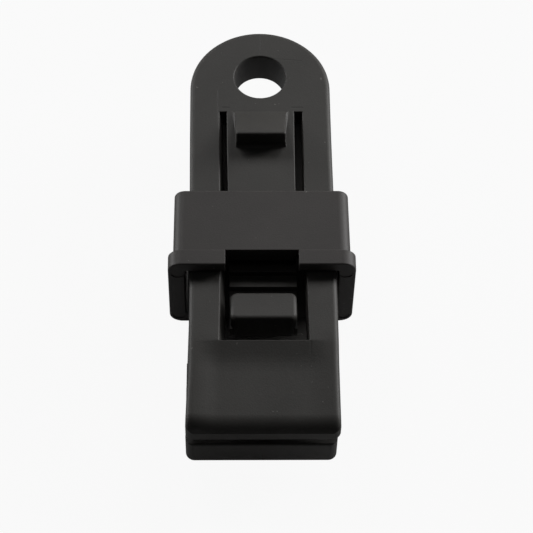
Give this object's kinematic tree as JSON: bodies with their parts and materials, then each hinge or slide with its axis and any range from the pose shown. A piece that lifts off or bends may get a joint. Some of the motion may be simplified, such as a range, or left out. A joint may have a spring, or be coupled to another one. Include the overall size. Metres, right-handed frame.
{
  "type": "tarp clip",
  "caption": "Black plastic tarp clip: two sprung arms with toothed jaws, squeezed shut by a sliding locking collar, with a thumb-button latch and a rope eyelet.",
  "frame": {"origin": "on the rope hole's axis, at half the thickness of the eyelet end", "axes": "+Z along the rope hole, out of the flat top that the collar slides along; +Y along the clip towards its eyelet end, so the jaws point to -Y; +X across the clip"},
  "size_m": [0.0342, 0.0869, 0.0212],
  "materials": {
    "moulded_black": "fine matt moulded finish, charcoal black",
    "collar_black": "fine matt moulded finish, charcoal black"
  },
  "bodies": {
    "sprung_body": {"rope_eyelet": "moulded_black", "upper_arm": "moulded_black", "upper_jaw": "moulded_black"},
    "lower_arm": {"lower_arm": "moulded_black", "lower_jaw": "moulded_black"},
    "latch": {"latch_tongue": "moulded_black", "thumb_button": "moulded_black", "stop_tab": "moulded_black"},
    "collar": {"locking_collar": "collar_black"}
  },
  "joints": [
    {"name": "collar_slide", "type": "slide", "parent": "sprung_body", "child": "collar", "axis": [0, 1, 0], "range_m": [-0.0033, 0.0114]},
    {"name": "arm_spread", "type": "hinge", "parent": "sprung_body", "child": "lower_arm", "pos_m": [0, -0.009, -0.00195], "axis": [1, 0, 0], "range_deg": [-1.23, 4.25]},
    {"name": "latch_press", "type": "hinge", "parent": "sprung_body", "child": "latch", "pos_m": [0, -0.00828, 0.00198], "axis": [1, 0, 0], "range_deg": [0, 2.6], "stiffness_Nm_per_rad": 9.6}
  ],
  "couplings": [
    {"joint": "arm_spread", "follows": "collar_slide", "rad_per_m": 6.5}
  ]
}
